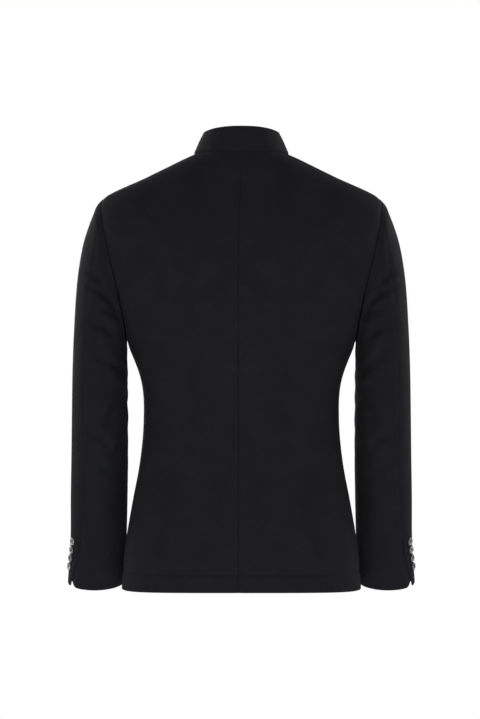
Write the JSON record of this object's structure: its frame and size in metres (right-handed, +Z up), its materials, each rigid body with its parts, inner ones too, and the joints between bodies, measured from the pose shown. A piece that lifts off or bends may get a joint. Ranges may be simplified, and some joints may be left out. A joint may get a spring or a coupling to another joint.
{
  "type": "nehru jacket",
  "caption": "Long-sleeved tailored jacket with a short stand collar, a buttoned front, patch pockets and buttoned cuffs, shown filled out as worn.",
  "frame": {"origin": "middle of the neck base, level with the points where the shoulder seams meet the collar", "axes": "+Z up, the front faces -Y, +X is the wearer's left"},
  "size_m": [0.5758, 0.2413, 0.7516],
  "materials": {
    "suiting": "near-black worsted wool suiting with a fine twill, a soft low sheen and pressed seams",
    "button": "polished grey horn-look resin, mottled, with a darker rim"
  },
  "bodies": {
    "root": {"back_left": "suiting", "back_right": "suiting", "front_left": "suiting", "front_right": "suiting", "pocket_left": "suiting", "pocket_right": "suiting", "collar": "suiting", "sleeve_top_left": "suiting", "sleeve_under_left": "suiting", "sleeve_top_right": "suiting", "sleeve_under_right": "suiting", "button_front_1": "button", "button_front_2": "button", "button_front_3": "button", "button_front_4": "button", "button_front_5": "button", "button_cuff_left_1": "button", "button_cuff_left_2": "button", "button_cuff_left_3": "button", "button_cuff_left_4": "button", "button_cuff_right_1": "button", "button_cuff_right_2": "button", "button_cuff_right_3": "button", "button_cuff_right_4": "button"}
  },
  "joints": []
}
